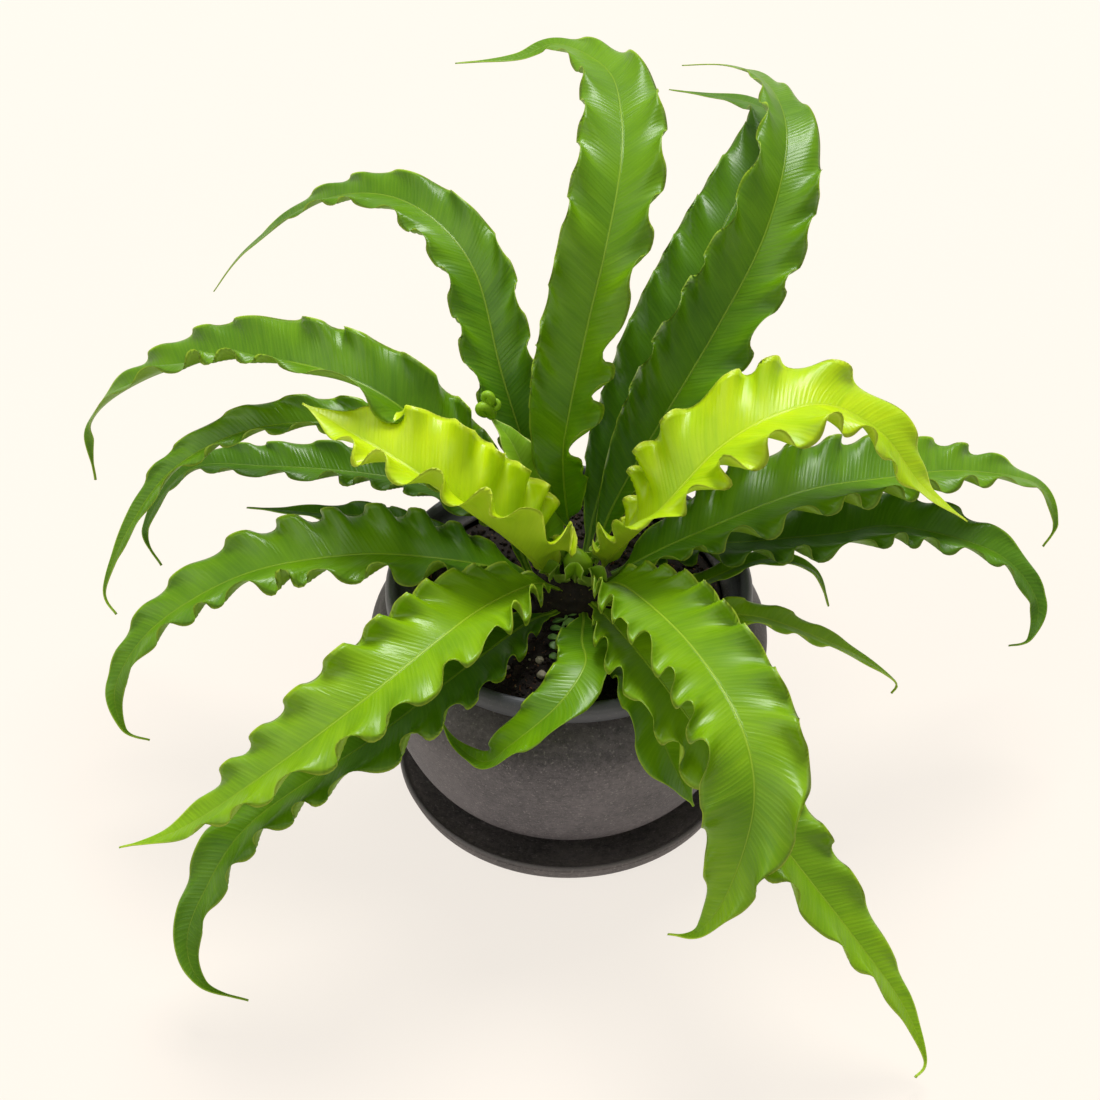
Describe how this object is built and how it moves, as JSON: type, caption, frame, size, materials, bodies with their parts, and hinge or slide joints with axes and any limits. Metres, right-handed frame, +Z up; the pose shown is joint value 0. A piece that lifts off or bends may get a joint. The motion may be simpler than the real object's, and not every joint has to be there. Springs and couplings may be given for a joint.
{
  "type": "potted bird's nest fern",
  "caption": "Bird's nest fern with long arching wavy-edged fronds, growing from a crown in a round ceramic pot on a saucer.",
  "frame": {"origin": "middle of the saucer's flat underside, on the surface the plant stands on", "axes": "+Z up along the pot's axis; -Y is the front, where two broad fronds part above the pot's rim; +X is to the right seen from the front"},
  "size_m": [0.5139, 0.5112, 0.3339],
  "materials": {
    "pot_ceramic": "matte",
    "saucer_ceramic": "matte",
    "soil": "matte",
    "crown": "matte",
    "young_leaf": "satin",
    "sprig_leaf": "satin",
    "frond_mature": "satin",
    "frond_shaded": "satin",
    "frond_bright": "satin",
    "frond_young": "satin"
  },
  "bodies": {
    "root": {"saucer": "saucer_ceramic", "pot": "pot_ceramic", "soil": "soil", "crown": "crown", "bud": "young_leaf", "sprig": "sprig_leaf", "frond_back_middle": "frond_mature", "frond_back_right_near": "frond_mature", "frond_back_right_far": "frond_shaded", "frond_back_left_arch": "frond_mature", "frond_left_upper": "frond_mature", "frond_left_young": "frond_young", "frond_left_middle": "frond_mature", "frond_left_rear": "frond_shaded", "frond_left_hidden": "frond_shaded", "frond_left_lower": "frond_mature", "frond_front_left_upper": "frond_bright", "frond_front_left_lower": "frond_mature", "frond_front_small": "frond_bright", "frond_front_right_long": "frond_mature", "frond_front_right_wide": "frond_bright", "frond_front_right_under": "frond_mature", "frond_right_young": "frond_young", "frond_right_long": "frond_mature", "frond_right_lower": "frond_shaded", "frond_right_curl": "frond_mature", "frond_right_small": "frond_bright", "frond_back_left_crozier": "young_leaf"}
  },
  "joints": []
}
